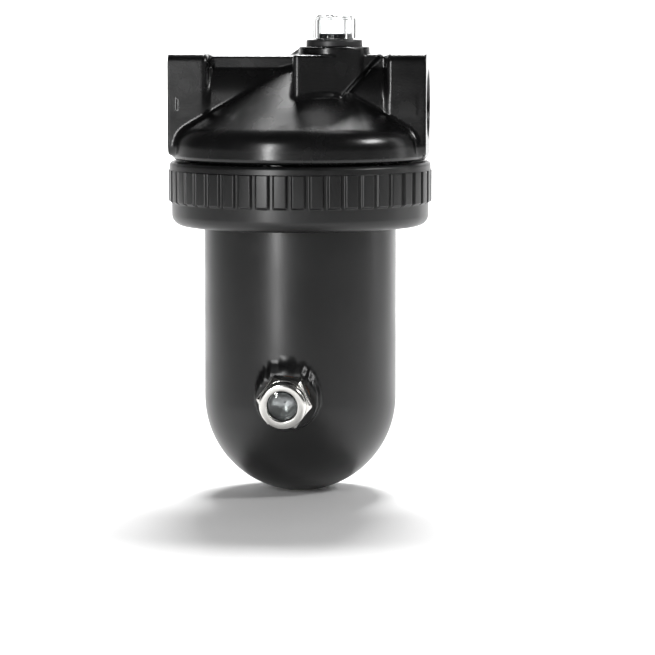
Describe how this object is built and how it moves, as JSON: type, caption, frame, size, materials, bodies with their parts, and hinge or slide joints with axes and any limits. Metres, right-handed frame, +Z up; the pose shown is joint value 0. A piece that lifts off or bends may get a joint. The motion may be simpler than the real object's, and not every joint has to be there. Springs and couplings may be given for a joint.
{
  "type": "compressed air filter",
  "caption": "Inline compressed air filter: black cast head with square port blocks, ribbed clamp ring, round-bottomed bowl with a sight glass, and a clear-capped service indicator.",
  "frame": {"origin": "centre of the inlet port's face, on the port's axis", "axes": "+X is the way the air flows, from inlet to outlet; +Z is up; -Y is the front, where the sight glass is"},
  "size_m": [0.1316, 0.1329, 0.2385],
  "materials": {
    "cast_black": "gloss",
    "ring_black": "semi-gloss",
    "bowl_black": "gloss",
    "rubber": "matt",
    "acetal": "matt",
    "dark_plastic": "matt",
    "bronze": "sintered, matt",
    "nickel": "nickel plated, satin",
    "steel": "satin",
    "copper": "satin",
    "clear_glass": "clear",
    "clear_plastic": "clear",
    "reflector": "satin",
    "indicator_red": "gloss"
  },
  "bodies": {
    "head_body": {"head": "cast_black", "deflector": "dark_plastic", "element_top_gasket": "rubber", "filter_element": "bronze", "element_bottom_gasket": "rubber", "baffle": "dark_plastic", "tie_rod": "steel", "rod_washer": "steel", "rod_nut": "steel", "indicator_base": "dark_plastic", "indicator_base_seal": "rubber", "indicator_cap": "clear_plastic", "indicator_cap_seal": "rubber", "indicator_spring": "steel"},
    "bowl_body": {"bowl": "bowl_black", "bowl_o_ring": "rubber", "sight_body": "nickel", "sight_washer": "copper", "sight_lens": "clear_glass", "sight_lens_seal": "rubber", "sight_reflector": "reflector", "sight_retainer": "steel"},
    "washer_body": {"thrust_washer": "acetal"},
    "ring_body": {"clamp_ring": "ring_black"},
    "drain_washer_body": {"drain_washer": "copper"},
    "drain_plug_body": {"drain_plug": "nickel"},
    "piston_body": {"indicator_piston": "indicator_red", "indicator_piston_seal": "rubber"}
  },
  "joints": [
    {"name": "bowl_lower", "type": "slide", "parent": "head_body", "child": "bowl_body", "axis": [0, 0, -1], "range_m": [0, 0.15]},
    {"name": "ring_travel", "type": "slide", "parent": "bowl_body", "child": "washer_body", "axis": [0, 0, -1], "range_m": [0, 0.024]},
    {"name": "ring_turn", "type": "hinge", "parent": "washer_body", "child": "ring_body", "pos_m": [0.0635, 0, 0], "axis": [0, 0, -1], "range_deg": [0, 2160]},
    {"name": "drain_travel", "type": "slide", "parent": "bowl_body", "child": "drain_washer_body", "axis": [0, 0, -1], "range_m": [0, 0.00802]},
    {"name": "drain_turn", "type": "hinge", "parent": "drain_washer_body", "child": "drain_plug_body", "pos_m": [0.0635, 0, 0], "axis": [0, 0, -1], "range_deg": [0, 2160]},
    {"name": "indicator_rise", "type": "slide", "parent": "head_body", "child": "piston_body", "axis": [0, 0, 1], "range_m": [0, 0.0045], "stiffness_N_per_m": 30, "springref_m": -0.001, "deforming": ["indicator_spring"]}
  ],
  "couplings": [
    {"joint": "ring_turn", "follows": "ring_travel", "rad_per_m": 1570.8},
    {"joint": "drain_turn", "follows": "drain_travel", "rad_per_m": 4699.5}
  ]
}
